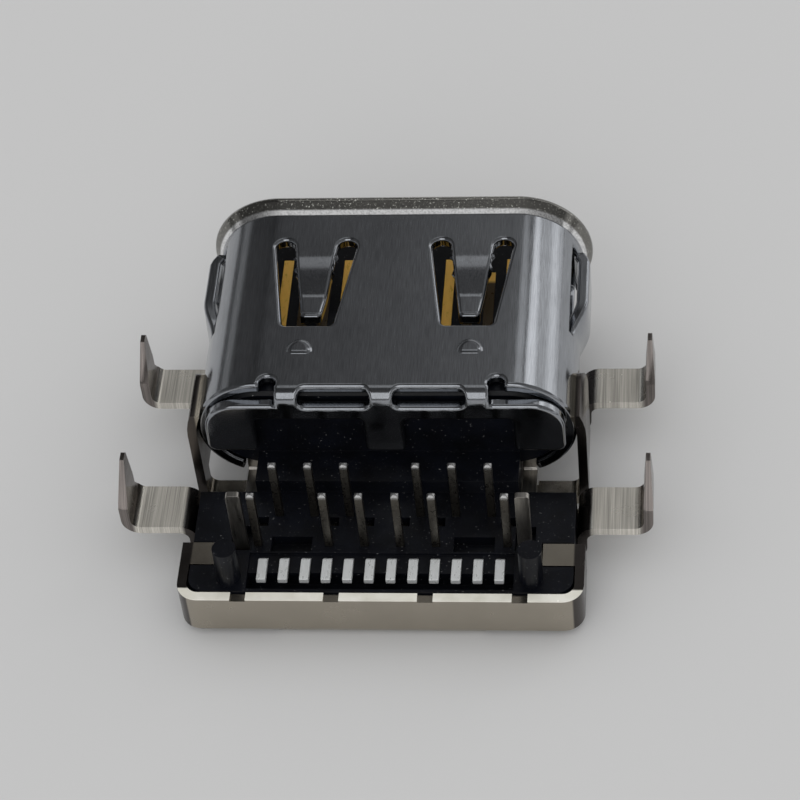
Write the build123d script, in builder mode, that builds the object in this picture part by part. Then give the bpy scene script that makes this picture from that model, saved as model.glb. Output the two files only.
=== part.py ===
"""A USB-C board socket with 24 contacts, lying on its cover with its board side up.

The origin is under the middle of the part, on the outer face of the cover plate.
+X is to the right as seen from the rear, +Y points out of the plug mouth, +Z is the board side.
The socket drops into a cut-out of the board: the tube stands half above the board and half below.
"""

import os
from math import asin, degrees

from build123d import *

# Heights of the board seat and of the tube, in millimetres
seat_height = 1.31
axis_above_seat = 1.18

# Plug tube, folded from one sheet
mouth_width = 8.34
mouth_height = 2.56
tube_wall = 0.30
tube_length = 5.95
lip_length = 0.40
lip_flare = 0.19
lip_flare_half_way = 0.057

# Lanced spring fingers in the two flat faces of the tube
finger_spacing = 3.78
finger_slot_width = 0.52
slot_end_behind_mouth = 1.19
finger_root_width = 0.98
finger_tip_width = 0.48
cutout_length = 2.85
cutout_narrowing = 0.37
cutout_corner = 0.13
finger_length = 2.02
finger_drop = 0.38
finger_bend_length = 1.05
finger_bend_radius = 0.54
finger_straight = 0.25
finger_anchor = 0.60

# Spring plates in the round sides of the tube
side_spring_height = 1.23
side_spring_root_behind_mouth = 3.50
side_spring_length = 2.73
side_spring_ramp = 1.20
side_spring_bulge = 0.20
side_spring_curl = 0.12
side_spring_gap = 0.10
side_spring_anchor = 0.30

# Rear flap of the tube
flap_thickness = 0.25
flap_bend = 0.20
flap_overlap = 0.06
flap_below_opening = 0.10
flap_corner = 0.80
tooth_corner = 0.25
tooth_gap_corner = 0.25
flap_behind_rim = 0.175
band_above_axis = 0.70
teeth_below_axis = 0.40
centre_tooth_width = 0.96
side_tooth_inner = 3.02
fold_slot_inner = 0.27
fold_slot_outer = 1.945
fold_slot_above_axis = 1.10
fold_slot_corner = 0.30
bridge_outer = 2.50
relief_hole = 0.38
relief_inset = 0.10
relief_spacing = 5.32
bump_spacing = 4.00
bump_behind_mouth = 4.90
bump_width = 0.44
bump_height = 0.06

# Cover, folded from one sheet
sheet = 0.22
fold_anchor = 1.00
fold = 0.22
rear_fold = 0.08
wall_corner = 0.39
rear_fold_width = 4.80
rear_notch_width = 0.36
rear_notch_depth = 0.07
rear_notch_spacing = 2.16
rear_notch_places = (0.5, 1.5)
return_length = 1.76
return_slope_height = 0.45
return_slope_length = 0.225
tab_start = 1.04
tab_length = 0.64
tab_reach = 0.75
window_past_rim = 0.23
window_length = 1.55
strap_width = 6.80
plate_past_rim = 3.39

# Board legs and the wings that hold the tube
wing_behind_rim = 0.19
wing_length = 1.63
wing_above_axis = 0.695
wing_corner = 0.50
wing_foot_length = 0.55
wing_clear_height = 0.80
lower_leg_start = 2.29
lower_leg_width = 1.26
upper_leg_past_rim = 2.08
upper_leg_width = 1.10
leg_spacing = 12.26
ear_below_seat = 0.31
leg_above_seat = 1.35
leg_shoulder_above_seat = 0.45
leg_tip_width = 0.26
leg_tip_from_front = 0.22
leg_heel_above_ear = 0.55
leg_tip_round = 0.08
leg_coin_depth = 0.06
leg_coin_height = 0.80

# Housing
housing_clearance = 0.03
base_length = 2.97
neck_length = 0.91
neck_width = 6.20
neck_above_seat = 0.40
block_length = 0.52
block_clearance = 0.02
tongue_root_width = 7.00
tongue_root_height = 1.24
tongue_root_length = 0.95
tongue_root_corner = 0.41
peg_spacing = 6.98
peg_from_tails = 0.24
peg_diameter = 0.55
peg_height = 1.05
peg_chamfer = 0.08
shelf_step = 0.08
shelf_front_from_tails = 0.48
pocket_width = 6.16
pocket_depth = 0.50
pocket_start_from_tails = 0.05
pocket_end_from_tails = 0.58
recess_width = 0.95
recess_length = 0.44
recess_depth = 0.30
recess_spacing = 4.25
blade_slot_width = 0.47
blade_slot_length = 0.72
blade_slot_shift = 0.17
lead_window_width = 0.34
lead_window_length = 0.26
lead_window_shift = 0.67

# Tongue and its middle plate
tongue_width = 6.69
tongue_thickness = 0.70
tongue_recess = 0.25
tongue_corner = 0.35
nose_length = 0.23
plate_thickness = 0.15
latch_notch_depth = 0.25
latch_notch_length = 0.80
latch_notch_corner = 0.125
latch_notch_from_tip = 1.70
blade_width = 0.33
blade_spacing = 6.61
blade_above_seat = 1.80
blade_tip_round = 0.08
plate_shoulder_length = 0.20
plate_shoulder_ahead = 0.06
pad_thickness = 0.10
pad_lip = 0.18
pad_bend = 0.06

# Contacts, half of each row numbered from the middle outwards
half_row = 6
long_contact_places = (2, 5)
contact_pitch = 0.50
contact_width = 0.25
contact_thickness = 0.15
contact_crease = 0.10
leg_cover = 0.055
tail_rise_gap = 0.03
long_contact_recess = 0.46
short_contact_recess = 0.91
tail_width = 0.22
tail_length = 0.64
tail_proud = 0.02
tails_from_rear = 0.908
pin_pitch = 0.83
near_row_places = (0.5, 1.5, 3.5)
far_row_places = (1, 2, 3)
pin_width = 0.19
pin_row_gap = 0.901
near_row_from_tails = 0.742
pin_above_seat = 1.815
pin_tip_chamfer = 0.05
upper_run_below_seat = 0.34
lower_run_below_seat = 0.70

# Places that follow from the sizes above
base_from_rear = sheet + housing_clearance
overall_depth = base_from_rear + base_length + neck_length + tube_length
rear_y = -overall_depth / 2
mouth_y = overall_depth / 2
rim_y = mouth_y - tube_length
axis_z = seat_height + axis_above_seat
tube_width = mouth_width + 2 * tube_wall
tube_height = mouth_height + 2 * tube_wall
top_z = axis_z + tube_height / 2
side_x = tube_width / 2
tail_y = rear_y + tails_from_rear
near_pin_y = tail_y + near_row_from_tails
far_pin_y = near_pin_y + pin_row_gap
base_rear = rear_y + base_from_rear
base_front = base_rear + base_length
base_side = side_x - housing_clearance
block_rear = rim_y + block_clearance
block_front = block_rear + block_length
tongue_tip = mouth_y - tongue_recess
tongue_top = axis_z + tongue_thickness / 2
tongue_bottom = axis_z - tongue_thickness / 2
plate_bottom = axis_z - plate_thickness / 2
upper_leg_y = block_rear + leg_cover + contact_thickness / 2
lower_leg_y = block_front - leg_cover - contact_thickness / 2
plate_leg_y = (upper_leg_y + lower_leg_y) / 2
upper_run_z = seat_height - upper_run_below_seat
lower_run_z = seat_height - lower_run_below_seat
plate_run_z = (upper_run_z + lower_run_z) / 2
rear_run_y = tail_y + tail_length / 2 + tail_rise_gap


def across(y, z=0.0):
    """The plane at depth y that faces the rear, with +X right and +Z up."""
    return Plane(origin=(0, y, z), x_dir=(1, 0, 0), z_dir=(0, -1, 0))


def bent_strip(points, bend, thickness):
    """A sheet seen on edge: a line with rounded corners, given its thickness."""
    with BuildSketch() as strip:
        with BuildLine():
            FilletPolyline(*points, radius=bend)
        trace(line_width=thickness)
    return strip.sketch


def creased_strip(points, cut, thickness):
    """A narrow sheet seen on edge, whose corners are cut across instead of rounded."""
    corners = [Vector(*point) for point in points]
    path = [corners[0]]
    for before, corner, after in zip(corners, corners[1:], corners[2:]):
        path.append(corner + (before - corner).normalized() * cut)
        path.append(corner + (after - corner).normalized() * cut)
    path.append(corners[-1])
    with BuildSketch() as strip:
        with BuildLine():
            Polyline(*path)
        trace(line_width=thickness)
    return strip.sketch


def polygon(points):
    """A closed straight-sided outline."""
    with BuildSketch() as outline:
        with BuildLine():
            Polyline(*points, close=True)
        make_face()
    return outline.sketch


def write(part, name):
    """Label a finished piece and write its file."""
    part.label = name
    export_step(part, f"parts/{name}.step")


def contact(tongue_x, board_x, side, front, board_width, rear):
    """One contact: its bent side view, cut to the outline that it shows from above.

    It shifts sideways in the neck, from its place on the tongue to its place on the board.
    """
    half, board_half = contact_width / 2, board_width / 2
    plan = [
        (tongue_x - half, front),
        (tongue_x + half, front),
        (tongue_x + half, rim_y),
        (board_x + board_half, base_front),
        (board_x + board_half, rear),
        (board_x - board_half, rear),
        (board_x - board_half, base_front),
        (tongue_x - half, rim_y),
    ]
    with BuildPart() as piece:
        with BuildSketch(Plane.YZ):
            add(creased_strip(side, contact_crease, contact_thickness))
        extrude(amount=side_x, both=True)
        with BuildSketch(Plane.XY):
            add(polygon(plan))
        extrude(amount=top_z, mode=Mode.INTERSECT)
    return piece


def contact_front(tongue_x):
    """Ground and power contacts reach further towards the tip than signal contacts do."""
    place = round(abs(tongue_x) / contact_pitch - 0.5)
    recess = long_contact_recess if place in long_contact_places else short_contact_recess
    return tongue_tip - recess


def pin_contact(tongue_x, pin_x, pin_y):
    """A contact of the board side of the tongue, which ends in a pin through the board."""
    front = contact_front(tongue_x)
    centre_z = tongue_top - contact_thickness / 2
    pin_top = seat_height + pin_above_seat
    side = [(front, centre_z), (upper_leg_y, centre_z), (upper_leg_y, upper_run_z)]
    side += [(pin_y, upper_run_z), (pin_y, pin_top)]
    piece = contact(tongue_x, pin_x, side, front, pin_width, pin_y - contact_thickness)
    with piece:
        tip = piece.faces().filter_by(Axis.Z).sort_by(Axis.Z)[-1]
        chamfer(tip.edges(), pin_tip_chamfer)
    return piece.part


def tail_contact(tongue_x):
    """A contact of the cover side of the tongue, which ends in a tail soldered on the board."""
    front = contact_front(tongue_x)
    centre_z = tongue_bottom + contact_thickness / 2
    tail_z = seat_height + tail_proud - contact_thickness / 2
    tail_end = tail_y - tail_length / 2
    side = [(front, centre_z), (lower_leg_y, centre_z), (lower_leg_y, lower_run_z)]
    side += [(rear_run_y, lower_run_z), (rear_run_y, tail_z), (tail_end, tail_z)]
    piece = contact(tongue_x, tongue_x, side, front, tail_width, tail_end)
    return piece.part


def contact_rows():
    """The twelve pin contacts and the twelve tail contacts, from left to right."""
    pins, tails = [], []
    pin_places = [(place, near_pin_y) for place in near_row_places]
    pin_places += [(place, far_pin_y) for place in far_row_places]
    pin_places.sort()
    for index in range(-half_row, half_row):
        tongue_x = (index + 0.5) * contact_pitch
        hand = 1 if tongue_x > 0 else -1
        pitches, pin_y = pin_places[index if hand > 0 else -1 - index]
        pins.append(pin_contact(tongue_x, hand * pitches * pin_pitch, pin_y))
        tails.append(tail_contact(tongue_x))
    return pins, tails


def tube_solid(grow):
    """The tube's solid outline at its opening plus grow all round, with the flared lip."""
    width, height = mouth_width + 2 * grow, mouth_height + 2 * grow
    lip_y = mouth_y - lip_length
    with BuildPart() as solid:
        with BuildSketch(across(rim_y, axis_z)):
            SlotOverall(width, height)
        extrude(amount=tube_length - lip_length, dir=(0, 1, 0))
        with BuildSketch(across(lip_y, axis_z)):
            SlotOverall(width, height)
        with BuildSketch(across(lip_y + lip_length / 2, axis_z)):
            SlotOverall(width + 2 * lip_flare_half_way, height + 2 * lip_flare_half_way)
        with BuildSketch(across(mouth_y, axis_z)):
            SlotOverall(width + 2 * lip_flare, height + 2 * lip_flare)
        loft(ruled=True)
    return solid.part


def finger_cutout():
    """The V-shaped opening round one finger, as seen from above the tube."""
    top_y = mouth_y - slot_end_behind_mouth
    slot_x = (finger_root_width + finger_slot_width) / 2
    top_half = slot_x + finger_slot_width / 2
    low_half = top_half - cutout_narrowing
    with BuildSketch() as opening:
        with Locations((finger_spacing / 2, 0)):
            add(
                polygon(
                    [
                        (-top_half, top_y - finger_slot_width / 2),
                        (top_half, top_y - finger_slot_width / 2),
                        (low_half, top_y - cutout_length),
                        (-low_half, top_y - cutout_length),
                    ]
                )
            )
        fillet(opening.vertices().group_by(Axis.Y)[0], cutout_corner)
        with Locations((finger_spacing / 2 - slot_x, top_y - finger_slot_width / 2)):
            Circle(finger_slot_width / 2)
        with Locations((finger_spacing / 2 + slot_x, top_y - finger_slot_width / 2)):
            Circle(finger_slot_width / 2)
        mirror(about=Plane.YZ)
    return opening.sketch


def fingers():
    """The four lanced fingers, bent into the tube and level again at their tips."""
    root_y = mouth_y - slot_end_behind_mouth - finger_slot_width / 2
    sheet_z = top_z - tube_wall / 2
    bend_y = root_y - finger_straight
    side = [(root_y + finger_anchor, sheet_z), (bend_y, sheet_z)]
    side += [(bend_y - finger_bend_length, sheet_z - finger_drop)]
    side += [(root_y - finger_length, sheet_z - finger_drop)]
    with BuildPart() as finger:
        with BuildSketch(Plane.YZ):
            add(bent_strip(side, finger_bend_radius, tube_wall))
        extrude(amount=side_x, both=True)
        with BuildSketch(Plane.XY):
            with Locations((finger_spacing / 2, 0)):
                add(
                    polygon(
                        [
                            (-finger_root_width / 2, root_y + finger_anchor),
                            (finger_root_width / 2, root_y + finger_anchor),
                            (finger_root_width / 2, root_y),
                            (finger_tip_width / 2, root_y - finger_length),
                            (-finger_tip_width / 2, root_y - finger_length),
                            (-finger_root_width / 2, root_y),
                        ]
                    )
                )
        extrude(amount=top_z, mode=Mode.INTERSECT)
        mirror(about=Plane.YZ)
        mirror(about=Plane.XY.offset(axis_z))
    return finger.part


def side_springs():
    """The two side plates: each leaves the tube wall at its rear and bulges outwards."""
    root_y = mouth_y - side_spring_root_behind_mouth
    wall_x = side_x - tube_wall / 2
    out_x = wall_x + side_spring_bulge
    end_y = root_y + side_spring_length
    path = [(wall_x, root_y - side_spring_anchor), (wall_x, root_y), (out_x, root_y + side_spring_ramp)]
    path += [(out_x, end_y - 2 * side_spring_curl), (out_x - side_spring_curl, end_y)]
    with BuildPart() as spring:
        with BuildSketch(Plane.XY.offset(axis_z - side_spring_height / 2)):
            add(bent_strip(path, tube_wall, tube_wall))
        extrude(amount=side_spring_height)
        mirror(about=Plane.YZ)
    return spring.part


def rear_flap():
    """The flap behind the tube: a perforated fold at its top and three teeth below its band."""
    flap_y = rim_y - flap_behind_rim
    fold_z = top_z - flap_thickness / 2
    width = mouth_width + 2 * flap_overlap
    height = mouth_height - 2 * flap_below_opening
    side = [(rim_y + tube_wall, fold_z), (flap_y, fold_z), (flap_y, axis_z - teeth_below_axis)]
    gap_width = side_tooth_inner - centre_tooth_width / 2
    with BuildPart() as flap:
        with BuildSketch(Plane.YZ):
            add(bent_strip(side, flap_bend, flap_thickness))
        extrude(amount=width / 2, both=True)
        with BuildSketch(across(rim_y, axis_z)) as outline:
            with Locations((0, -teeth_below_axis)):
                flap_height = height / 2 + teeth_below_axis
                Rectangle(width, flap_height, align=(Align.CENTER, Align.MIN))
            fillet(outline.vertices().group_by(Axis.Y)[-1], flap_corner)
            fillet(outline.vertices().group_by(Axis.Y)[0], tooth_corner)
            with Locations((0, tube_height / 4)):
                Rectangle(2 * bridge_outer, tube_height / 2)
            slot_mid = (fold_slot_inner + fold_slot_outer) / 2
            with Locations((-slot_mid, tube_height / 2), (slot_mid, tube_height / 2)):
                slot_height = 2 * (tube_height / 2 - fold_slot_above_axis)
                RectangleRounded(
                    fold_slot_outer - fold_slot_inner, slot_height, fold_slot_corner, mode=Mode.SUBTRACT
                )
            gap_x = centre_tooth_width / 2 + gap_width / 2
            with Locations((-gap_x, band_above_axis - height), (gap_x, band_above_axis - height)):
                RectangleRounded(gap_width, 2 * height, tooth_gap_corner, mode=Mode.SUBTRACT)
        extrude(amount=tube_height, both=True, mode=Mode.INTERSECT)
    return flap.part


def build_front_shell():
    """The plug tube with everything that is cut and bent from its sheet."""
    with BuildPart() as front_shell:
        add(tube_solid(tube_wall))
        add(tube_solid(0), mode=Mode.SUBTRACT)
        with BuildSketch(Plane.XY.offset(axis_z)):
            add(finger_cutout())
        extrude(amount=tube_height, both=True, mode=Mode.SUBTRACT)
        add(fingers())
        window_rear = mouth_y - side_spring_root_behind_mouth
        window_y = window_rear + (side_spring_length + side_spring_gap) / 2
        with BuildSketch(Plane.YZ.offset(-tube_width)):
            with Locations((window_y, axis_z)):
                window_height = side_spring_height + 2 * side_spring_gap
                Rectangle(side_spring_length + side_spring_gap, window_height)
        extrude(amount=2 * tube_width, mode=Mode.SUBTRACT)
        add(side_springs())
        with BuildSketch(across(rim_y, axis_z - tube_height / 2)):
            Rectangle(blade_spacing + blade_width + 2 * housing_clearance, tube_height)
        extrude(amount=block_front - rim_y + housing_clearance, dir=(0, 1, 0), mode=Mode.SUBTRACT)
        with BuildSketch(Plane.XY.offset(axis_z)):
            hole_y = rim_y + relief_inset
            with Locations((-relief_spacing / 2, hole_y), (relief_spacing / 2, hole_y)):
                Circle(relief_hole / 2)
        extrude(amount=tube_height, mode=Mode.SUBTRACT)
        add(rear_flap())
        with BuildSketch(Plane.XY.offset(top_z)):
            bump_y = mouth_y - bump_behind_mouth
            with Locations((-bump_spacing / 2, bump_y), (bump_spacing / 2, bump_y)):
                Ellipse(bump_width / 2, bump_width / 2)
            with Locations((0, bump_y - tube_width)):
                Rectangle(2 * tube_width, 2 * tube_width, mode=Mode.SUBTRACT)
        extrude(amount=bump_height)
    return front_shell.part


def wing():
    """The right wing: up from the cover plate, then round the side of the tube."""
    wall_x = side_x + sheet / 2
    hug = tube_height / 2 + sheet / 2
    turn = degrees(asin(wing_above_axis / hug))
    start = rim_y - wing_behind_rim
    with BuildPart() as part:
        with BuildSketch(across(start)):
            with BuildLine():
                corners = [(side_x - fold_anchor, sheet / 2), (wall_x, sheet / 2), (wall_x, axis_z)]
                path = FilletPolyline(*corners, radius=fold + sheet / 2)
                JernArc(start=path @ 1, tangent=(0, 1), radius=hug, arc_size=turn)
            trace(line_width=sheet)
        extrude(amount=wing_length, dir=(0, 1, 0))
        with BuildSketch(Plane.YZ) as outline:
            with Locations((start, 0)):
                Rectangle(wing_length, axis_z + wing_above_axis, align=(Align.MIN, Align.MIN))
            fillet(outline.vertices().group_by(Axis.Y)[-1].sort_by(Axis.X)[-1], wing_corner)
            with Locations((start + wing_foot_length, 0)):
                Rectangle(wing_length, wing_clear_height, align=(Align.MIN, Align.MIN), mode=Mode.SUBTRACT)
        extrude(amount=leg_spacing, mode=Mode.INTERSECT)
    return part.part


def leg(rear, width):
    """A right board leg: up from the cover plate, out along its ear and up to a tapered tip."""
    wall_x = side_x + sheet / 2
    leg_x = leg_spacing / 2
    ear_z = seat_height - ear_below_seat
    tip_z = seat_height + leg_above_seat
    path = [(side_x - fold_anchor, sheet / 2), (wall_x, sheet / 2), (wall_x, ear_z), (leg_x, ear_z)]
    path += [(leg_x, tip_z)]
    front = rear + width
    shoulder_z = seat_height + leg_shoulder_above_seat
    tip_front = front - leg_tip_from_front
    with BuildPart() as part:
        with BuildSketch(across(rear)):
            add(bent_strip(path, fold + sheet / 2, sheet))
            for face_x, hand in ((leg_x - sheet / 2, 1), (leg_x + sheet / 2, -1)):
                coin = [(face_x, tip_z - leg_coin_height), (face_x + hand * leg_coin_depth, tip_z)]
                add(polygon([*coin, (face_x, tip_z)]), mode=Mode.SUBTRACT)
        extrude(amount=width, dir=(0, 1, 0))
        with BuildSketch(Plane.YZ) as outline:
            add(
                polygon(
                    [
                        (rear, 0),
                        (front, 0),
                        (front, ear_z + sheet),
                        (tip_front, ear_z + leg_heel_above_ear),
                        (tip_front, tip_z),
                        (tip_front - leg_tip_width, tip_z),
                        (rear, shoulder_z),
                    ]
                )
            )
            fillet(outline.vertices().sort_by(Axis.Y)[-2:], leg_tip_round)
        extrude(amount=leg_spacing, mode=Mode.INTERSECT)
    return part.part


def build_bracket():
    """The cover: plate, rear wall with its returns, holding tabs, wings and board legs."""
    wall_y = rear_y + sheet / 2
    wall_x = side_x + sheet / 2
    return_end = rear_y + return_length
    plate_rear = rear_y + sheet + rear_fold
    plate_side = side_x - fold
    fold_top = sheet + 2 * rear_fold
    with BuildPart() as bracket:
        with BuildSketch(Plane.XY):
            with BuildLine():
                FilletPolyline(
                    (-wall_x, return_end),
                    (-wall_x, wall_y),
                    (wall_x, wall_y),
                    (wall_x, return_end),
                    radius=wall_corner,
                )
            trace(line_width=sheet)
        extrude(amount=seat_height)
        with BuildSketch(Plane.YZ) as return_outline:
            add(
                polygon(
                    [
                        (rear_y, sheet),
                        (return_end, sheet),
                        (return_end, seat_height - return_slope_height),
                        (return_end - return_slope_length, seat_height),
                        (rear_y, seat_height),
                    ]
                )
            )
        extrude(amount=tube_width, both=True, mode=Mode.INTERSECT)
        with BuildSketch(across(rear_y)):
            for place in rear_notch_places:
                notch_x = place * rear_notch_spacing
                with Locations((-notch_x, seat_height), (notch_x, seat_height)):
                    Rectangle(rear_notch_width, 2 * rear_notch_depth)
        extrude(amount=2 * sheet, both=True, mode=Mode.SUBTRACT)
        with BuildSketch(across(rear_y)):
            Rectangle(rear_fold_width, 2 * fold_top)
        extrude(amount=2 * sheet, both=True, mode=Mode.SUBTRACT)
        fold_path = [(plate_rear + sheet, sheet / 2), (wall_y, sheet / 2), (wall_y, fold_top)]
        with BuildSketch(Plane.YZ):
            add(bent_strip(fold_path, rear_fold + sheet / 2, sheet))
        extrude(amount=rear_fold_width / 2, both=True)
        with BuildSketch(Plane.XY):
            with Locations((0, plate_rear)):
                plate_length = rim_y + plate_past_rim - plate_rear
                Rectangle(2 * plate_side, plate_length, align=(Align.CENTER, Align.MIN))
            window_y = rim_y + window_past_rim + window_length / 2
            with Locations((-plate_side, window_y), (plate_side, window_y)):
                Rectangle(2 * plate_side - strap_width, window_length, mode=Mode.SUBTRACT)
        extrude(amount=sheet)
        add(wing())
        add(leg(rear_y + lower_leg_start, lower_leg_width))
        add(leg(rim_y + upper_leg_past_rim, upper_leg_width))
        with BuildSketch(Plane.XY.offset(seat_height - sheet)):
            with Locations((side_x + sheet, rear_y + tab_start)):
                Rectangle(tab_reach + sheet, tab_length, align=(Align.MAX, Align.MIN))
        extrude(amount=sheet)
        mirror(about=Plane.YZ)
    return bracket.part


def tongue_outline(front):
    """The tongue from above, as far as front, with rounded corners and latch notches."""
    notch_y = tongue_tip - latch_notch_from_tip
    with BuildSketch() as outline:
        with Locations((0, block_front)):
            Rectangle(tongue_width, front - block_front, align=(Align.CENTER, Align.MIN))
        fillet(outline.vertices().group_by(Axis.Y)[-1], tongue_corner)
        with Locations((-tongue_width / 2, notch_y), (tongue_width / 2, notch_y)):
            RectangleRounded(
                2 * latch_notch_depth, latch_notch_length, latch_notch_corner, mode=Mode.SUBTRACT
            )
    return outline.sketch


def build_mid_plate():
    """The steel plate inside the tongue, with a leg down each side that ends in a board blade."""
    plate_front = tongue_tip - nose_length
    blade_top = seat_height + blade_above_seat
    side = [(plate_front, axis_z), (plate_leg_y, axis_z), (plate_leg_y, plate_run_z)]
    side += [(near_pin_y, plate_run_z), (near_pin_y, blade_top)]
    with BuildPart() as mid_plate:
        with BuildSketch(Plane.YZ):
            add(creased_strip(side, contact_crease, plate_thickness))
        extrude(amount=tube_width / 2, both=True)
        with BuildSketch(Plane.XY):
            add(tongue_outline(plate_front))
            with Locations((0, block_front + plate_shoulder_ahead)):
                shoulder_width = blade_spacing + blade_width
                Rectangle(shoulder_width, plate_shoulder_length, align=(Align.CENTER, Align.MAX))
            for hand in (-1, 1):
                with Locations((hand * blade_spacing / 2, block_front)):
                    Rectangle(blade_width, 2 * tube_length)
        extrude(amount=top_z, mode=Mode.INTERSECT)
        tips = mid_plate.faces().filter_by(Axis.Z).group_by(Axis.Z)[-1]
        fillet([edge for tip in tips for edge in tip.edges().filter_by(Axis.Y)], blade_tip_round)
    return mid_plate.part


def build_insulator(low, high, cut):
    """The tongue moulding between two heights, cut by what it is moulded around."""
    with BuildPart() as insulator:
        with BuildSketch(Plane.XY.offset(low)):
            add(tongue_outline(tongue_tip))
        extrude(amount=high - low)
        for piece in cut:
            add(piece, mode=Mode.SUBTRACT)
    return insulator.part


def build_pad(hand):
    """A grounding pad on the thick root of the tongue; hand is 1 above and -1 below."""
    face_z = axis_z + hand * tongue_root_height / 2
    pad_z = face_z + hand * pad_thickness / 2
    front = block_front + tongue_root_length
    path = [(block_front, pad_z), (front + pad_thickness / 2, pad_z)]
    path += [(front + pad_thickness / 2, face_z - hand * pad_lip)]
    with BuildPart() as pad:
        with BuildSketch(Plane.YZ):
            add(bent_strip(path, pad_bend, pad_thickness))
        extrude(amount=tongue_root_width / 2, both=True)
    return pad.part


def build_housing(cut):
    """The black moulding: base, neck, the block that closes the tube, and two board pegs."""
    base_top = seat_height
    with BuildPart() as housing:
        neck_to_block = block_front - base_front
        with BuildSketch(Plane.XY.offset(sheet)) as base:
            with Locations((0, base_rear)):
                Rectangle(2 * base_side, base_length, align=(Align.CENTER, Align.MIN))
            fillet(base.vertices().group_by(Axis.Y)[0], wall_corner)
        extrude(amount=base_top - sheet)
        chamfer(housing.faces().sort_by(Axis.Z)[0].edges(), fold)
        with BuildSketch(Plane.XY.offset(sheet)):
            with Locations((0, base_front)):
                Rectangle(neck_width, neck_to_block, align=(Align.CENTER, Align.MIN))
        extrude(amount=base_top + neck_above_seat - sheet)
        with BuildSketch(across(block_rear, axis_z)):
            SlotOverall(mouth_width - 2 * block_clearance, mouth_height - 2 * block_clearance)
        extrude(amount=block_length, dir=(0, 1, 0))
        with BuildSketch(across(block_front, axis_z)):
            RectangleRounded(tongue_root_width, tongue_root_height, tongue_root_corner)
        extrude(amount=tongue_root_length, dir=(0, 1, 0))
        with BuildSketch(Plane.XY.offset(base_top)):
            with Locations((0, tail_y + shelf_front_from_tails)):
                shelf_length = shelf_front_from_tails + pocket_end_from_tails
                Rectangle(pocket_width, shelf_length, align=(Align.CENTER, Align.MAX))
        extrude(amount=-shelf_step, mode=Mode.SUBTRACT)
        with BuildSketch(Plane.XY.offset(base_top)):
            with Locations((0, tail_y - pocket_start_from_tails)):
                pocket_length = pocket_end_from_tails - pocket_start_from_tails
                Rectangle(pocket_width, pocket_length, align=(Align.CENTER, Align.MAX))
        extrude(amount=-pocket_depth, mode=Mode.SUBTRACT)
        with BuildSketch(Plane.XY.offset(base_top)):
            with Locations(*[(x * recess_spacing / 2, near_pin_y) for x in (-1, 1)]):
                Rectangle(recess_width, recess_length)
            with Locations(*[(x * blade_spacing / 2, near_pin_y + blade_slot_shift) for x in (-1, 1)]):
                Rectangle(blade_slot_width, blade_slot_length)
            window_y = near_pin_y + lead_window_shift
            for place in near_row_places:
                with Locations((-place * pin_pitch, window_y), (place * pin_pitch, window_y)):
                    Rectangle(lead_window_width, lead_window_length)
        extrude(amount=-recess_depth, mode=Mode.SUBTRACT)
        with BuildSketch(Plane.XY.offset(base_top - sheet)):
            for hand in (-1, 1):
                with Locations((hand * side_x, rear_y + tab_start + tab_length / 2)):
                    tab_room = 2 * (tab_reach + housing_clearance)
                    Rectangle(tab_room, tab_length + 2 * housing_clearance)
        extrude(amount=2 * sheet, mode=Mode.SUBTRACT)
        with BuildSketch(Plane.XY.offset(base_top)):
            with Locations(*[(x * peg_spacing / 2, tail_y - peg_from_tails) for x in (-1, 1)]):
                Circle(peg_diameter / 2)
        extrude(amount=peg_height)
        peg_tops = housing.faces().filter_by(Axis.Z).group_by(Axis.Z)[-1]
        chamfer([edge for face in peg_tops for edge in face.edges()], peg_chamfer)
        for piece in cut:
            add(piece, mode=Mode.SUBTRACT)
    return housing.part


os.makedirs("parts", exist_ok=True)

pins, tails = contact_rows()
mid_plate = build_mid_plate()
upper_insulator = build_insulator(plate_bottom, tongue_top, [mid_plate, *pins])
lower_insulator = build_insulator(tongue_bottom, plate_bottom, tails)
tongue_core = build_insulator(tongue_bottom, tongue_top, [])

write(build_front_shell(), "front_shell")
write(build_bracket(), "rear_cover")
write(mid_plate, "mid_plate")
write(upper_insulator, "upper_insulator")
write(lower_insulator, "lower_insulator")
write(build_pad(1), "upper_grounding_pad")
write(build_pad(-1), "lower_grounding_pad")
write(build_housing([tongue_core, mid_plate, *pins, *tails]), "housing")
for number, piece in enumerate(pins, 1):
    write(piece, f"pin_contact_{number:02d}")
for number, piece in enumerate(tails, 1):
    write(piece, f"tail_contact_{number:02d}")
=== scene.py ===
"""Studio view of the USB-C board socket: sheet metal, moulding and contacts.

Lengths are in metres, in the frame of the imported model.
"""

from math import radians

import bmesh
import bpy
import numpy as np
from mathutils.geometry import delaunay_2d_cdt
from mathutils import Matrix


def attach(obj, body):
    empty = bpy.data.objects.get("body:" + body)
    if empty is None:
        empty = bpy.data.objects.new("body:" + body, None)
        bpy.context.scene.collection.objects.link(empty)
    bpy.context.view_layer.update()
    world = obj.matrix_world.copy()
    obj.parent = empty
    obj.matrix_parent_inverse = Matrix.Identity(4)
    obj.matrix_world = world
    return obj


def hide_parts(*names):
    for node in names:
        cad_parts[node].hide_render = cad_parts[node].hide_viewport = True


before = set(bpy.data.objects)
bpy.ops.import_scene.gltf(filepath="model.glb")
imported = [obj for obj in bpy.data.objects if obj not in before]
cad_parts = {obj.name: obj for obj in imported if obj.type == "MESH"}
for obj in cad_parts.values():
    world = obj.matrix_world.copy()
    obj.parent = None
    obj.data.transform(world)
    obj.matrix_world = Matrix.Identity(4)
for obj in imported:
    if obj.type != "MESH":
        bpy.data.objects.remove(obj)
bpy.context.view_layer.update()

mm = 0.001


# Materials: each one is a small tree of nodes on Object coordinates

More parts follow.
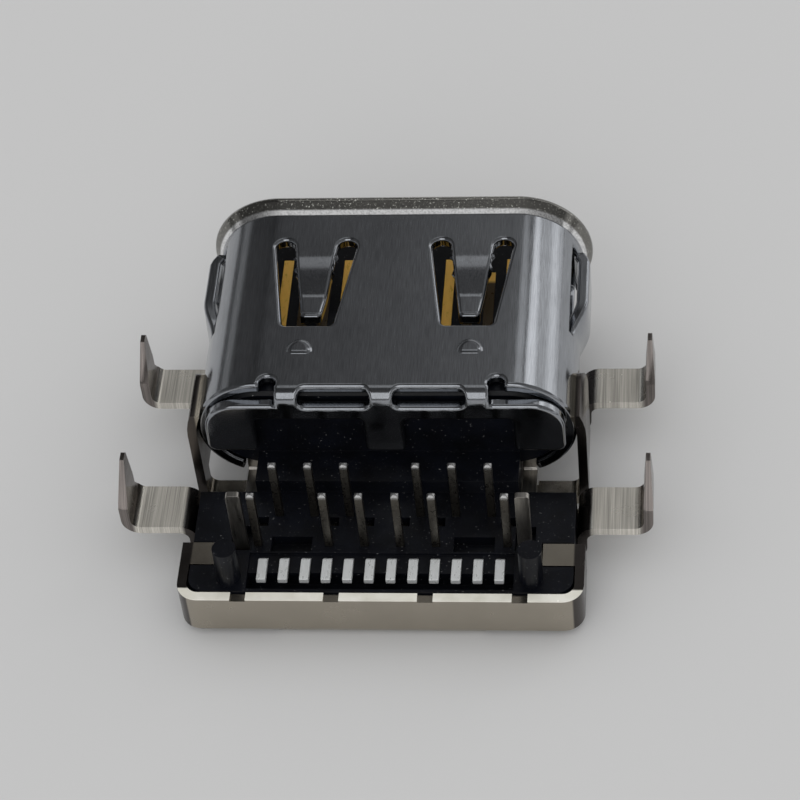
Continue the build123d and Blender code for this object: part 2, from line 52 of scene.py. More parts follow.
def new_material(name, metallic, roughness):
    """An empty material: its tree, its surface shader and its Object coordinates."""
    material = bpy.data.materials.new(name)
    material.use_nodes = True
    tree = material.node_tree
    shader = tree.nodes["Principled BSDF"]
    shader.inputs["Metallic"].default_value = metallic
    shader.inputs["Roughness"].default_value = roughness
    place = tree.nodes.new("ShaderNodeTexCoord").outputs["Object"]
    return material, tree, shader, place


def stretched_noise(tree, place, grain, detail=3.0, rough=0.55):
    """Noise whose features measure grain = (x, y, z) in metres."""
    mapping = tree.nodes.new("ShaderNodeMapping")
    mapping.inputs["Scale"].default_value = [1 / size for size in grain]
    noise = tree.nodes.new("ShaderNodeTexNoise")
    noise.inputs["Scale"].default_value = 1.0
    noise.inputs["Detail"].default_value = detail
    noise.inputs["Roughness"].default_value = rough
    tree.links.new(place, mapping.inputs["Vector"])
    tree.links.new(mapping.outputs["Vector"], noise.inputs["Vector"])
    return noise.outputs["Fac"]


def ramp(tree, value, stops):
    """Colours or greys that follow a value; stops are (position, grey or colour)."""
    node = tree.nodes.new("ShaderNodeValToRGB")
    colours = node.color_ramp.elements
    while len(colours) < len(stops):
        colours.new(0.5)
    for element, (position, colour) in zip(colours, stops):
        element.position = position
        element.color = (*colour, 1) if isinstance(colour, tuple) else (colour, colour, colour, 1)
    tree.links.new(value, node.inputs["Fac"])
    return node.outputs["Color"]


def even(tree, value, grey):
    """One grey, whatever the value."""
    return ramp(tree, value, [(0.0, grey), (1.0, grey)])


def times(tree, first, second):
    """Two colours multiplied."""
    node = tree.nodes.new("ShaderNodeMix")
    node.data_type = "RGBA"
    node.blend_type = "MULTIPLY"
    node.inputs["Factor"].default_value = 1.0
    tree.links.new(first, node.inputs["A"])
    tree.links.new(second, node.inputs["B"])
    return node.outputs["Result"]


def bump(tree, shader, height, depth, strength=0.4):
    """A relief of the given depth in metres."""
    node = tree.nodes.new("ShaderNodeBump")
    node.inputs["Strength"].default_value = strength
    node.inputs["Distance"].default_value = depth
    tree.links.new(height, node.inputs["Height"])
    tree.links.new(node.outputs["Normal"], shader.inputs["Normal"])


def part_of(tree, place, axis, low, high):
    """How far the size of one coordinate has gone from low to high, as 0 to 1."""
    split = tree.nodes.new("ShaderNodeSeparateXYZ")
    tree.links.new(place, split.inputs["Vector"])
    size = tree.nodes.new("ShaderNodeMath")
    size.operation = "ABSOLUTE"
    tree.links.new(split.outputs[axis], size.inputs[0])
    share = tree.nodes.new("ShaderNodeMapRange")
    share.inputs["From Min"].default_value = low
    share.inputs["From Max"].default_value = high
    tree.links.new(size.outputs["Value"], share.inputs["Value"])
    return share.outputs["Result"]


def blend(tree, share, first, second):
    """The first colour where share is 0, the second where it is 1."""
    node = tree.nodes.new("ShaderNodeMix")
    node.data_type = "RGBA"
    tree.links.new(share, node.inputs["Factor"])
    tree.links.new(first, node.inputs["A"])
    tree.links.new(second, node.inputs["B"])
    return node.outputs["Result"]


def brushed_metal(name, colour, grain, roughness, contrast=0.18, relief=2e-6):
    """Sheet metal with fine drawn lines, cloudy patches and lightly uneven gloss."""
    material, tree, shader, place = new_material(name, 1.0, roughness)
    lines = stretched_noise(tree, place, grain, 4.0)
    clouds = stretched_noise(tree, place, (1.1 * mm, 1.6 * mm, 1.1 * mm))
    dark = tuple(channel * (1 - contrast) for channel in colour)
    light = tuple(min(1.0, channel * (1 + contrast)) for channel in colour)
    tint = ramp(tree, lines, [(0.3, dark), (0.7, light)])
    patches = ramp(tree, clouds, [(0.3, 0.86), (0.7, 1.0)])
    tree.links.new(times(tree, tint, patches), shader.inputs["Base Color"])
    gloss = ramp(tree, lines, [(0.3, roughness - 0.03), (0.7, roughness + 0.05)])
    tree.links.new(gloss, shader.inputs["Roughness"])
    bump(tree, shader, lines, relief)
    return material


def tube_metal(name, colour):
    """Bluish steel drawn along the tube, with a painted highlight on the crease behind a grey, speckled
    lip.

    Towards the tube's corners the lip is darkened by painted shade, and the crease is plain metal without
    the painted highlight.
    """
    material = brushed_metal(name, colour, (0.018 * mm, 0.5 * mm, 0.018 * mm), 0.13, 0.18, 1e-6)
    tree = material.node_tree
    shader = tree.nodes["Principled BSDF"]
    drawn = shader.inputs["Base Color"].links[0].from_socket
    place = tree.nodes.new("ShaderNodeTexCoord").outputs["Object"]
    wear = stretched_noise(tree, place, (0.05 * mm, 0.05 * mm, 0.05 * mm), 3.0, 0.7)
    dark, grey, speck = (0.38, 0.37, 0.35), (0.48, 0.47, 0.43), (0.95, 0.95, 0.88)
    worn = ramp(tree, wear, [(0.45, dark), (0.60, grey), (0.68, speck)])
    lip = part_of(tree, place, "Y", 4.74 * mm, 4.78 * mm)
    # Painted highlight: the crease behind the lip is pale, standing in for the light its bend catches
    crease = part_of(tree, place, "Y", 4.64 * mm, 4.66 * mm)
    painted_crease_highlight = ramp(tree, wear, [(0.35, 0.6), (0.55, 1.0)])
    # Painted shade: the lip grows darker towards the tube's corners
    corner = part_of(tree, place, "X", 2.8 * mm, 3.5 * mm)
    painted_corner_shade = ramp(tree, corner, [(0.0, 1.0), (1.0, 0.55)])
    colour = blend(tree, lip, blend(tree, crease, drawn, painted_crease_highlight), times(tree, worn, painted_corner_shade))
    tree.links.new(colour, shader.inputs["Base Color"])
    # Less metal on the crease, so that its painted highlight stays pale; plain metal towards the corners
    on_crease = ramp(tree, corner, [(0.0, 0.45), (1.0, 1.0)])
    metallic = blend(tree, crease, even(tree, corner, 1.0), on_crease)
    metallic = blend(tree, lip, metallic, ramp(tree, wear, [(0.60, 1.0), (0.68, 0.5)]))
    tree.links.new(metallic, shader.inputs["Metallic"])
    return material


def cover_metal(name, roughness):
    """Nickel: plain on the rear wall; painted shade makes the side walls dark and the legs darker, and
    painted light makes the ears pale, which are also streaked and half matt.

    The cut edge along the top of the rear wall is pale and nearly matt: a painted highlight.
    """
    material, tree, shader, place = new_material(name, 1.0, roughness)
    # The rear wall has the nickel's own colour; the side walls and legs get painted shade and the ears
    # painted light
    rear, side = (0.44, 0.40, 0.335), (0.09, 0.08, 0.075)
    lit_ear, shaded_leg = (0.95, 0.91, 0.82), (0.28, 0.25, 0.235)
    out = part_of(tree, place, "X", 4.0 * mm, 6.5 * mm)
    painted_light_zones = [(0.168, rear), (0.184, side), (0.300, side), (0.330, lit_ear), (0.760, lit_ear), (0.800, shaded_leg)]
    streaks = stretched_noise(tree, place, (0.025 * mm, 2.5 * mm, 2.5 * mm), 4.0, 0.6)
    drawn = ramp(tree, streaks, [(0.36, 0.55), (0.62, 1.0)])
    cloudy = stretched_noise(tree, place, (0.6 * mm, 0.6 * mm, 0.6 * mm))
    plain = ramp(tree, cloudy, [(0.3, 0.94), (0.7, 1.0)])
    outside = part_of(tree, place, "X", 4.70 * mm, 4.80 * mm)
    finish = blend(tree, outside, plain, drawn)
    colour = times(tree, ramp(tree, out, painted_light_zones), finish)
    # Painted highlight: the cut edge along the top of the rear wall is pale and nearly matt
    at_rear = part_of(tree, place, "Y", 4.68 * mm, 4.72 * mm)
    at_top = part_of(tree, place, "Z", 1.27 * mm, 1.29 * mm)
    cut = blend(tree, at_rear, even(tree, at_rear, 0.0), ramp(tree, at_top, [(0.0, 0.0), (1.0, 1.0)]))
    pale = ramp(tree, cloudy, [(0.3, (0.80, 0.78, 0.68)), (0.7, (1.0, 0.98, 0.90))])
    tree.links.new(blend(tree, cut, colour, pale), shader.inputs["Base Color"])
    # The ears are half matt, which adds to their painted light
    on_ear = ramp(tree, out, [(0.31, 1.0), (0.33, 0.65), (0.74, 0.65), (0.78, 1.0)])
    tree.links.new(blend(tree, cut, on_ear, even(tree, cut, 0.2)), shader.inputs["Metallic"])
    gloss = ramp(tree, cloudy, [(0.3, roughness - 0.04), (0.7, roughness + 0.06)])
    tree.links.new(gloss, shader.inputs["Roughness"])
    return material


def moulding(name):
    """Bluish-black moulded plastic with fine grain and specks of dust."""
    material, tree, shader, place = new_material(name, 0.0, 0.5)
    grain = stretched_noise(tree, place, (0.05 * mm, 0.05 * mm, 0.05 * mm))
    clouds = stretched_noise(tree, place, (0.8 * mm, 0.8 * mm, 0.8 * mm))
    specks = stretched_noise(tree, place, (0.07 * mm, 0.03 * mm, 0.05 * mm), 2.0)
    body = ramp(tree, clouds, [(0.3, (0.0012, 0.0014, 0.0025)), (0.75, (0.004, 0.005, 0.009))])
    dust = ramp(tree, specks, [(0.70, 0.0), (0.76, 1.0)])
    pale = ramp(tree, clouds, [(0.3, 0.10), (0.7, 0.35)])
    tree.links.new(blend(tree, dust, body, pale), shader.inputs["Base Color"])
    shader.inputs["Specular IOR Level"].default_value = 0.25
    gloss = ramp(tree, grain, [(0.3, 0.28), (0.7, 0.45)])
    tree.links.new(gloss, shader.inputs["Roughness"])
    bump(tree, shader, grain, 6e-6, 0.5)
    return material


def plated_contact(name, tin, gold, from_y, to_y, metallic=1.0):
    """A contact that is gold on the tongue, tin where it is soldered and grey above Z 3 mm.

    The gold between 1.5 and 2.5 mm from the middle is darkened by painted shade up to Y 3.5 mm.
    """
    material, tree, shader, place = new_material(name, metallic, 0.3)
    split = tree.nodes.new("ShaderNodeSeparateXYZ")
    tree.links.new(place, split.inputs["Vector"])
    along = tree.nodes.new("ShaderNodeMapRange")
    along.inputs["From Min"].default_value = from_y
    along.inputs["From Max"].default_value = to_y
    tree.links.new(split.outputs["Y"], along.inputs["Value"])
    plating = ramp(tree, along.outputs["Result"], [(0.45, tin), (0.55, gold)])
    tip = part_of(tree, place, "Z", 2.98 * mm, 3.08 * mm)
    plating = blend(tree, tip, plating, even(tree, tip, 0.5))
    # Painted shade: contacts between 1.5 and 2.5 mm from the middle are dark behind Y 3.5 mm
    out, dark = part_of(tree, place, "X", 0.0, 3.0 * mm), 0.06
    inner = ramp(tree, out, [(0.49, 1.0), (0.51, dark), (0.825, dark), (0.84, 1.0)])
    white = even(tree, tip, 1.0)
    painted_contact_shade = blend(tree, part_of(tree, place, "Y", 3.5 * mm, 3.6 * mm), inner, white)
    plating = times(tree, plating, blend(tree, along.outputs["Result"], white, painted_contact_shade))
    specks = stretched_noise(tree, place, (0.08 * mm, 0.25 * mm, 0.08 * mm))
    shade = ramp(tree, specks, [(0.3, 0.9), (0.7, 1.0)])
    tree.links.new(times(tree, plating, shade), shader.inputs["Base Color"])
    gloss = ramp(tree, specks, [(0.3, 0.24), (0.7, 0.42)])
    tree.links.new(gloss, shader.inputs["Roughness"])
    bump(tree, shader, specks, 1e-6)
    satin = ramp(tree, along.outputs["Result"], [(0.45, metallic), (0.55, 0.15)])
    tree.links.new(satin, shader.inputs["Metallic"])
    return material


tube_steel = tube_metal("tube_steel", (0.36, 0.375, 0.40))
cover_nickel = cover_metal("cover_nickel", 0.22)
plate_steel = brushed_metal("plate_steel", (0.42, 0.40, 0.37), (0.05 * mm, 1.0 * mm, 0.4 * mm), 0.3)
black_moulding = moulding("black_moulding")
tongue_gold, pin_tin, tail_tin = (1.0, 0.58, 0.10), (0.13, 0.12, 0.105), (0.80, 0.82, 0.82)
neck_y = -0.7 * mm
gold_y = neck_y + 0.4 * mm
pin_plating = plated_contact("pin_plating", pin_tin, tongue_gold, neck_y, gold_y)
tail_plating = plated_contact("tail_plating", tail_tin, tongue_gold, neck_y, gold_y, 0.4)


# The tube with its flap, as one flat pattern that is bent into shape.
# A place on the pattern is (s, y): s runs round the section from the top middle, y along the tube.

axis_z = 2.49 * mm
mouth_y = 5.04 * mm
rim_y = mouth_y - 5.95 * mm
wall = 0.30 * mm
opening_half = 4.17 * mm
opening_r = 1.28 * mm
round_r = opening_r + wall / 2
flat_half = opening_half - opening_r
seam_s = 2 * flat_half + np.pi * round_r
side_s = flat_half + np.pi * round_r / 2
lip_length = 0.40 * mm
lip_flare = 0.25 * mm
lip_over = 0.06 * mm
finger_x = 1.89 * mm
slot_top_y = mouth_y - 1.19 * mm
root_y = slot_top_y - 0.26 * mm
finger_length = 2.02 * mm
finger_drop = 0.38 * mm
finger_half = 0.49 * mm
finger_taper = 0.25 * mm
finger_lead = -0.1 * mm
bend_start = 0.40 * mm
bend_end = 1.30 * mm
bend_run = 0.90 * mm
spring_half = 0.615 * mm
spring_root_y = mouth_y - 3.50 * mm
spring_tip_y = mouth_y - 0.77 * mm
spring_ramp = 1.20 * mm
spring_bulge = 0.20 * mm
spring_tuck = 0.12 * mm
fold_r = 0.20 * mm
fold_lead = 0.025 * mm
fold_y = rim_y + fold_lead
fold_half = 2.5 * mm
flap_top = fold_r * np.pi / 2 + 0.05 * mm - fold_lead
flap_limit = 4.5 * mm
bump_x = 2.0 * mm
bump_y = mouth_y - 4.90 * mm
bump_r = 0.27 * mm
bump_height = 0.07 * mm
slack = 0.01 * mm
rim_round = 0.09 * mm
rim_steps = 4


def run(points, step=0.1 * mm):
    """Points along straight runs from one corner to the next, about a step apart."""
    pieces = []
    for start, end in zip(points, points[1:]):
        start, end = np.array(start), np.array(end)
        count = max(1, int(np.linalg.norm(end - start) / step))
        share = np.arange(count)[:, None] / count
        pieces.append(start + (end - start) * share)
    return np.concatenate(pieces)


def arc(centre, radius, first, last, count=10):
    """Points on a circle between two angles in degrees."""
    turn = np.radians(np.linspace(first, last, count))
    return np.array(centre) + radius * np.stack([np.cos(turn), np.sin(turn)], axis=1)


def finger_slot(centre):
    """The V-shaped opening: round two slot ends, down the finger's sides and round its tip."""
    slot, half, length = 0.75 * mm, 0.23 * mm, 2.85 * mm
    low_y = slot_top_y - length
    low_half, corner, tip_half = 0.62 * mm, 0.13 * mm, 0.24 * mm
    left = arc((-slot, root_y), half, 180, 0, 14)
    right = arc((slot, root_y), half, 180, 0, 14)
    tip_y = root_y - finger_length
    inner = run([left[-1], (-tip_half, tip_y), (tip_half, tip_y), right[0]])[1:]
    right_down = run([right[-1], (low_half, low_y + corner)])[1:]
    low_right = arc((low_half - corner, low_y + corner), corner, 0, -90, 6)
    low_left = arc((corner - low_half, low_y + corner), corner, -90, -180, 6)
    across = run([low_right[-1], low_left[0]])[1:]
    left_up = run([low_left[-1], left[0]])[1:]
    loop = np.concatenate([left, inner, right, right_down, low_right, across, low_left, left_up])
    return loop + (centre, 0)


def spring_slot(centre):
    """The U-shaped opening round a side spring, which stays joined at its rear."""
    gap = 0.10 * mm
    outer = spring_half + gap
    corners = [(-outer, spring_root_y), (-outer, spring_tip_y + gap), (outer, spring_tip_y + gap)]
    corners += [(outer, spring_root_y), (spring_half, spring_root_y), (spring_half, spring_tip_y)]
    corners += [(-spring_half, spring_tip_y), (-spring_half, spring_root_y)]
    return run(corners + corners[:1]) + (centre, 0)


def fold_slot(hand):
    """One long slot of the perforated fold, with round ends."""
    half, length, out, reach = 0.19 * mm, 0.8375 * mm, 1.1075, 0.22 * mm
    centre = (hand * out * mm, rim_y - reach)
    right = arc((centre[0] + length - half, centre[1]), half, -90, 90, 12)
    left = arc((centre[0] - length + half, centre[1]), half, 90, 270, 12)
    top = run([right[-1], left[0]])[1:]
    low = run([left[-1], right[0]])[1:]
    return np.concatenate([right, top, left, low])


def half_outline():
    """The right edge of the pattern: from the mouth down the seam, the rim and the flap."""
    half_gap, notch_turn, notch_depth = 0.015 * mm, 0.4407, 0.57 * mm
    end = seam_s - half_gap
    notch_s = flat_half + round_r * (np.pi - notch_turn)
    notch_y = rim_y + notch_depth
    # The relief hole ends in a square corner, so that its inset loop doesn't cross itself
    hole_x, hole_up, hole_r, hole_corner = 2.66 * mm, 0.10 * mm, 0.19 * mm, 2.85 * mm
    hole = arc((hole_x, rim_y + hole_up), hole_r, 0, 211.8, 16)
    hole = np.concatenate([[(hole_corner, rim_y)], hole])
    flap_drop, band, outer_tooth, middle_tooth = 1.58 * mm, 0.48 * mm, 3.02 * mm, 0.48 * mm
    flap_y = rim_y - flap_top
    low_y = flap_y - flap_drop
    wide, big, small, inner = 4.23 * mm, 0.80 * mm, 0.25 * mm, 0.13 * mm
    shoulder = arc((wide - big, flap_y - big), big, 90, 0, 16)
    toe = arc((wide - small, low_y + small), small, 0, -90, 8)
    heel = arc((outer_tooth + inner, low_y + inner), inner, 270, 180, 6)
    band_y = flap_y - band
    inside = arc((outer_tooth - inner, band_y - inner), inner, 0, 90, 6)
    beside = arc((middle_tooth + inner, band_y - inner), inner, 90, 180, 6)
    foot = arc((middle_tooth - inner, low_y + inner), inner, 0, -90, 6)
    lip_y = mouth_y + lip_over
    parts = [run([(0, lip_y), (end, lip_y), (end, notch_y), (notch_s, notch_y), (notch_s, rim_y), hole[0]])]
    parts += [hole, run([hole[-1], (fold_half, flap_y), shoulder[0]])[1:], shoulder]
    parts += [run([shoulder[-1], toe[0]])[1:], toe, run([toe[-1], heel[0]])[1:], heel]
    parts += [run([heel[-1], inside[0]])[1:], inside, run([inside[-1], beside[0]])[1:], beside]
    parts += [run([beside[-1], foot[0]])[1:], foot, run([foot[-1], (0, low_y)])[1:]]
    return np.concatenate(parts)


def sheet_on_left(loop, is_hole):
    """The loop without repeated points, in the direction that keeps the sheet on its left."""
    loop = loop[np.linalg.norm(loop - np.roll(loop, 1, axis=0), axis=1) > 1e-8]
    after = np.roll(loop, -1, axis=0)
    area = (loop[:, 0] * after[:, 1] - after[:, 0] * loop[:, 1]).sum()
    return loop if (area > 0) != is_hole else loop[::-1]


def inward(loop):
    """For each point of a loop, the way into the sheet, longer at corners so that sides stay parallel."""
    along = np.roll(loop, -1, axis=0) - loop
    along = along / np.linalg.norm(along, axis=1)[:, None]
    side = np.stack([-along[:, 1], along[:, 0]], axis=1)
    middle = side + np.roll(side, 1, axis=0)
    middle = middle / np.linalg.norm(middle, axis=1)[:, None]
    return middle / np.maximum((middle * side).sum(axis=1), 0.5)[:, None]


def fill_pattern(loops):
    """Triangles between the loops, and where each point of the loops went.

    The points are a grid, finer where the sheet is stamped.
    """
    sides = np.concatenate([np.stack([loop, np.roll(loop, -1, axis=0)], axis=1) for loop in loops])

    def inside(points):
        """Whether a ray along s crosses the loops an odd number of times."""
        low, high = sides[:, 0], sides[:, 1]
        spans = (low[:, 1] > points[:, 1:2]) != (high[:, 1] > points[:, 1:2])
        slope = (high[:, 0] - low[:, 0]) / np.where(high[:, 1] == low[:, 1], 1, high[:, 1] - low[:, 1])
        reach = low[:, 0] + (points[:, 1:2] - low[:, 1]) * slope
        return (spans & (points[:, :1] < reach)).sum(axis=1) % 2 == 1

    def grid(left, right, low, high, step):
        across, along = np.arange(left, right, step), np.arange(low, high, step)
        return np.stack(np.meshgrid(across, along), axis=-1).reshape(-1, 2)

    coarse, fine, finer, finest, clearance = 0.16 * mm, 0.05 * mm, 0.04 * mm, 0.02 * mm, 0.03 * mm
    points = [grid(-seam_s, seam_s, rim_y - 2 * mm, mouth_y - lip_length, coarse)]
    points += [grid(-seam_s, seam_s, mouth_y - lip_length, mouth_y + lip_over, fine)]
    points += [grid(-fold_half, fold_half, rim_y - 0.4 * mm, rim_y + 0.1 * mm, finer)]
    for hand in (-1, 1):
        left, right = hand * bump_x - 0.3 * mm, hand * bump_x + 0.3 * mm
        points += [grid(left, right, bump_y - 0.1 * mm, bump_y + 0.4 * mm, finest)]
        left, right = hand * finger_x - 0.5 * mm, hand * finger_x + 0.5 * mm
        points += [grid(left, right, root_y - 2 * mm, root_y, fine)]
    points = np.concatenate(points)
    away = np.full(len(points), np.inf)
    for start, end in sides:
        along = end - start
        share = np.clip((points - start) @ along / max(along @ along, 1e-18), 0, 1)
        away = np.minimum(away, np.linalg.norm(points - start - share[:, None] * along, axis=1))
    points = points[inside(points) & (away > clearance)]
    rims = np.concatenate(loops)
    starts = np.cumsum([0] + [len(loop) for loop in loops[:-1]])
    edges = []
    for start, loop in zip(starts, loops):
        index = start + np.arange(len(loop))
        edges.append(np.stack([index, np.roll(index, -1)], axis=1))
    flat = np.concatenate([rims, points])
    result = delaunay_2d_cdt((flat / mm).tolist(), np.concatenate(edges).tolist(), [], 0, 1e-6)
    flat = np.array([tuple(point) for point in result[0]]) * mm
    faces = np.array([face for face in result[2] if len(face) == 3])
    faces = faces[inside(flat[faces].mean(axis=1))]
    first, second = flat[faces[:, 1]] - flat[faces[:, 0]], flat[faces[:, 2]] - flat[faces[:, 0]]
    turned = first[:, 0] * second[:, 1] - first[:, 1] * second[:, 0] < 0
    faces[turned] = faces[turned][:, ::-1]
    place = np.zeros(len(rims) + len(points), int)
    for index, origins in enumerate(result[3]):
        place[origins] = index
    return flat, faces, [place[start:start + len(loop)] for start, loop in zip(starts, loops)]


def ease(value):
    """A smooth step from 0 to 1."""
    value = np.clip(value, 0, 1)
    return value * value * (3 - 2 * value)


def soft_ramp(value, start, soft):
    """0 before start and value - start after it, with a rounded knee about soft wide."""
    past = value - start
    return (past + np.hypot(past, soft)) / 2


def finger_bend(behind):
    """How far a finger has gone down its slope: softly from bend_start, and no more past bend_end."""
    return soft_ramp(behind, bend_start, 0.25 * mm) - soft_ramp(behind, bend_end, 0.08 * mm)


def stamp(s, y):
    """How far the sheet stands out of its section: lip, fingers and bumps."""
    along = np.clip((y - mouth_y + lip_length) / lip_length, 0, 2)
    soft = 0.18
    out = lip_flare * (np.hypot(along, soft) - soft) / (np.hypot(1, soft) - soft)
    x = np.minimum(np.abs(s), seam_s - np.abs(s))
    behind = root_y - y
    half = finger_half - finger_taper * behind / finger_length
    on_finger = (np.abs(x - finger_x) < half + 2 * slack) & (behind > finger_lead)
    on_finger &= behind <= finger_length + slack
    bend = finger_bend(behind) - finger_bend(finger_lead)
    curl = 0.4 * soft_ramp(behind, finger_length - 0.15 * mm, 0.05 * mm)
    out = np.where(on_finger, curl - finger_drop * bend / bend_run, out)
    away = np.hypot(np.abs(s) - bump_x, 0.75 * (y - bump_y)) / bump_r
    dome = bump_height * ease(2.6 * (1 - away)) * ease((y - bump_y + 0.02 * mm) / (0.03 * mm))
    return out + dome


def bend_tube(flat):
    """Each place of the pattern moved to its place on the middle face of the tube's sheet.

    The section is straight for flat_half from the middle, then a half circle of round_r.
    A spring's place goes over from the circle to a flat plate. Past the rim the sheet turns
    down round fold_r.
    """
    s, y = flat[:, 0], flat[:, 1]
    hand, reach = np.sign(s), np.abs(s)
    radius = round_r + stamp(s, y)
    turn = np.clip((reach - flat_half) / round_r, 0, np.pi)
    straight = np.minimum(np.where(reach < seam_s / 2, reach, seam_s - reach), flat_half)
    x = hand * (straight + radius * np.sin(turn))
    z = axis_z + radius * np.cos(turn)
    up = side_s - reach
    on_spring = (np.abs(up) <= spring_half + slack) & (y > spring_root_y) & (y < spring_tip_y + slack)
    share = ease((y - spring_root_y) / spring_ramp)
    tuck = spring_tuck * ease((y - spring_tip_y + 0.3 * mm) / (0.3 * mm))
    plate_x = hand * (flat_half + round_r + spring_bulge - tuck)
    x = np.where(on_spring, x + (plate_x - x) * share, x)
    z = np.where(on_spring, z + (axis_z + up - z) * share, z)
    past = fold_y - y
    angle = np.clip(past / fold_r, 0, np.pi / 2)
    below = np.maximum(past - fold_r * np.pi / 2, 0)
    folded = (past > 0) & (reach < flap_limit) & ((y < rim_y - 1e-6) | (reach < fold_half))
    x = np.where(folded, s, x)
    z = np.where(folded, axis_z + round_r - fold_r * (1 - np.cos(angle)) - below, z)
    y = np.where(folded, fold_y - fold_r * np.sin(angle), y)
    return np.stack([x, y, z], axis=1)


def raise_off(flat, height):
    """Places at a height above the middle face of the bent sheet, and the sheet's normals there."""
    step = 0.001 * mm
    across = bend_tube(flat + (step, 0)) - bend_tube(flat - (step, 0))
    along = bend_tube(flat + (0, step)) - bend_tube(flat - (0, step))
    normal = np.cross(across, along)
    normal /= np.linalg.norm(normal, axis=1)[:, None]
    return bend_tube(flat) + height * normal, normal


def sheet_body(loops):
    """The bent sheet as a closed body whose rims are rounded by a quarter circle above and below.

    A rim point lies d = r(1 - sin a) inside the loop at a height of w/2 - r + r cos a, with a from
    0 to 90 degrees, then the same below. Returns places, faces and the normal at each place.
    """
    ways = [inward(loop) for loop in loops]
    flat, faces, rims = fill_pattern([loop + rim_round * way for loop, way in zip(loops, ways)])
    count = len(flat)
    above, normal = raise_off(flat, wall / 2)
    below, _ = raise_off(flat, -wall / 2)
    places, normals = [above, below], [normal, -normal]
    polygons = faces.tolist() + (faces[:, ::-1] + count).tolist()
    total = 2 * count
    angles = np.radians(np.linspace(0, 90, rim_steps + 1)[1:])
    for loop, way, rim in zip(loops, ways, rims):
        rows = [rim]
        for side, turn in [(1, angle) for angle in angles] + [(-1, angle) for angle in angles[::-1]]:
            inset = rim_round * (1 - np.sin(turn))
            height = side * (wall / 2 - rim_round + rim_round * np.cos(turn))
            row, _ = raise_off(loop + inset * way, height)
            core, _ = raise_off(loop + rim_round * way, side * (wall / 2 - rim_round))
            places.append(row)
            normals.append((row - core) / np.linalg.norm(row - core, axis=1)[:, None])
            rows.append(total + np.arange(len(loop)))
            total += len(loop)
        rows.append(rim + count)
        for upper, lower in zip(rows, rows[1:]):
            quads = np.stack([upper, lower, np.roll(lower, -1), np.roll(upper, -1)], axis=1)
            polygons += quads.tolist()
    return np.concatenate(places), polygons, np.concatenate(normals)


def new_piece(name, places, faces, normals, material, slot, nodes):
    """A mesh piece that rides on the root body and stands for the given nodes."""
    mesh = bpy.data.meshes.new(name)
    mesh.from_pydata(places.tolist(), [], faces)
    mesh.shade_smooth()
    mesh.normals_split_custom_set_from_vertices(normals.tolist())
    mesh.materials.append(material)
    piece = bpy.data.objects.new(name, mesh)
    bpy.context.scene.collection.objects.link(piece)
    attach(piece, "root")
    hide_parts(*nodes)


def soften(piece, width, segments=2):
    """Small rounds on the sharp edges."""
    rounds = piece.modifiers.new("rounds", "BEVEL")
    rounds.width = width
    rounds.segments = segments
    rounds.limit_method = "ANGLE"
    rounds.angle_limit = radians(40)
    rounds.harden_normals = True


def front_shell():
    """The tube: its pattern bent, given its thickness and rounded at its edges."""
    right = half_outline()
    left = right[::-1] * (-1, 1)
    outline = np.concatenate([right[1:], left[:-1]])
    fingers = [finger_slot(hand * finger_x) for hand in (-1, 1)]
    under = [np.stack([np.sign(slot[:, 0]) * seam_s - slot[:, 0], slot[:, 1]], axis=1) for slot in fingers]
    springs = [spring_slot(hand * side_s) for hand in (-1, 1)]
    slots = [fold_slot(hand) for hand in (-1, 1)]
    holes = [*fingers, *under, *springs, *slots]
    loops = [sheet_on_left(outline, False)] + [sheet_on_left(hole, True) for hole in holes]
    new_piece("tube_shell", *sheet_body(loops), tube_steel, "tube_steel", ["front_shell"])


def dressed(name, material, width):
    """A merged copy of a node with small rounds on its edges, shown in its place."""
    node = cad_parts[name]
    mesh = node.data.copy()
    work = bmesh.new()
    work.from_mesh(mesh)
    bmesh.ops.remove_doubles(work, verts=work.verts, dist=1e-7)
    bmesh.ops.dissolve_limit(work, angle_limit=radians(0.5), verts=work.verts, edges=work.edges)
    work.to_mesh(mesh)
    work.free()
    mesh.shade_smooth()
    mesh.set_sharp_from_angle(angle=radians(40))
    mesh.materials.clear()
    mesh.materials.append(material)
    piece = bpy.data.objects.new(name + "_finished", mesh)
    bpy.context.scene.collection.objects.link(piece)
    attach(piece, "root")
    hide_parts(name)
    soften(piece, width)


front_shell()
dressed("rear_cover", cover_nickel, 0.05 * mm)
dressed("mid_plate", plate_steel, 0.015 * mm)
dressed("housing", black_moulding, 0.012 * mm)
for number in range(1, 13):
    dressed(f"pin_contact_{number:02d}", pin_plating, 0.04 * mm)
    dressed(f"tail_contact_{number:02d}", tail_plating, 0.02 * mm)
kept = {"upper_grounding_pad": plate_steel, "lower_grounding_pad": plate_steel}
kept.update({"upper_insulator": black_moulding, "lower_insulator": black_moulding})
for name, material in kept.items():
    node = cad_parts[name]
    node.data.materials.clear()
    node.data.materials.append(material)


# Floor, light and camera

def floor():
    """A flat pale ground under the cover, far wider than the view."""
    half = 0.4
    mesh = bpy.data.meshes.new("floor")
    corners = [(-half, -half, 0), (half, -half, 0), (half, half, 0), (-half, half, 0)]
    mesh.from_pydata(corners, [], [(0, 1, 2, 3)])
    ground = bpy.data.objects.new("floor", mesh)
    bpy.context.scene.collection.objects.link(ground)
    material, _, shader, _ = new_material("floor", 0.0, 0.8)
    shader.inputs["Base Color"].default_value = (0.60, 0.60, 0.60, 1)
    mesh.materials.append(material)


def softbox(name, place, target, size, radiance):
    """A square light of the given side and brightness, turned to the target."""
    light = bpy.data.lights.new(name, "AREA")
    light.shape = "SQUARE"
    light.size = size
    light.energy = radiance * np.pi * size ** 2
    lamp = bpy.data.objects.new(name, light)
    aim = np.array(target) - np.array(place)
    aim = aim / np.linalg.norm(aim)
    yaw = np.arctan2(-aim[0], aim[1])
    lamp.rotation_euler = (np.arccos(-aim[2]), 0, yaw)
    lamp.location = place
    bpy.context.scene.collection.objects.link(lamp)


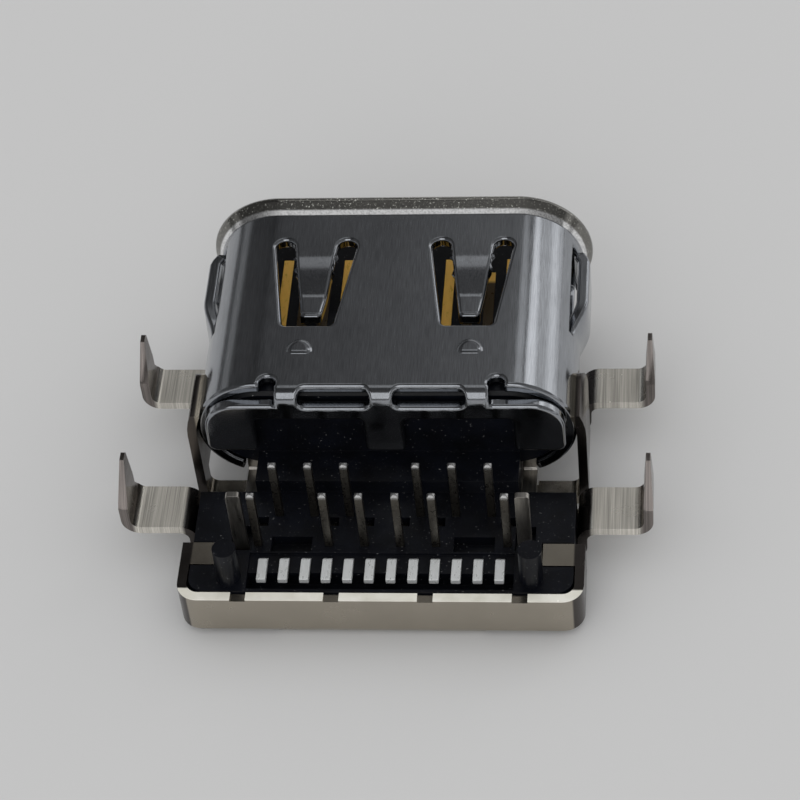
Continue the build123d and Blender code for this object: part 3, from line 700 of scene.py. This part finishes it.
floor()
middle = (0, 0, 2 * mm)
softbox("right_softbox", (0.145, 0.130, 0.060), middle, 0.11, 0.60)
softbox("right_strip", (0.090, 0.132, 0.125), middle, 0.040, 1.3)
softbox("right_sheen", (0.042, 0.132, 0.144), middle, 0.030, 0.45)
softbox("rear_softbox", (-0.02, -0.16, 0.12), middle, 0.16, 0.9)
softbox("front_strip", (0.0, 0.060, 0.180), middle, 0.07, 0.35)

world = bpy.data.worlds.new("studio")
bpy.context.scene.world = world
world.use_nodes = True
tree = world.node_tree
background = tree.nodes["Background"]
background.inputs["Strength"].default_value = 1.0
heading = tree.nodes.new("ShaderNodeTexCoord").outputs["Generated"]
split = tree.nodes.new("ShaderNodeSeparateXYZ")
tree.links.new(heading, split.inputs["Vector"])
# Glossy rays see bands of a darker sky, which the metal mirrors. All other rays see an even one.
low_sky = [(0.0, 0.40), (0.10, 0.22), (0.16, 0.75), (0.27, 0.75)]
high_sky = [(0.34, 0.18), (0.65, 0.27), (0.8, 0.25), (1.0, 0.13)]
sky = ramp(tree, split.outputs["Z"], low_sky + high_sky)
turn = tree.nodes.new("ShaderNodeMapRange")
turn.inputs["From Min"].default_value = -1
tree.links.new(split.outputs["X"], turn.inputs["Value"])
left_sky = [(0.0, 0.5), (0.38, 0.2), (0.418, 0.2), (0.428, 0.45)]
right_sky = [(0.448, 0.5), (0.47, 0.85), (1.0, 0.8)]
shade = ramp(tree, turn.outputs["Result"], left_sky + right_sky)
soft = even(tree, split.outputs["Z"], 0.80)
ray = tree.nodes.new("ShaderNodeLightPath").outputs["Is Glossy Ray"]
tree.links.new(blend(tree, ray, soft, times(tree, sky, shade)), background.inputs["Color"])

lens = bpy.data.cameras.new("camera")
lens.lens = 127.891
lens.sensor_width = 36
lens.clip_start = 0.001
camera = bpy.data.objects.new("camera", lens)
camera.location = (0.007366, -0.044387, 0.052373)
camera.rotation_euler = (radians(41.8367), radians(4.5812), radians(3.9901))
bpy.context.scene.collection.objects.link(camera)
bpy.context.scene.camera = camera
bpy.context.scene.view_settings.view_transform = "Standard"
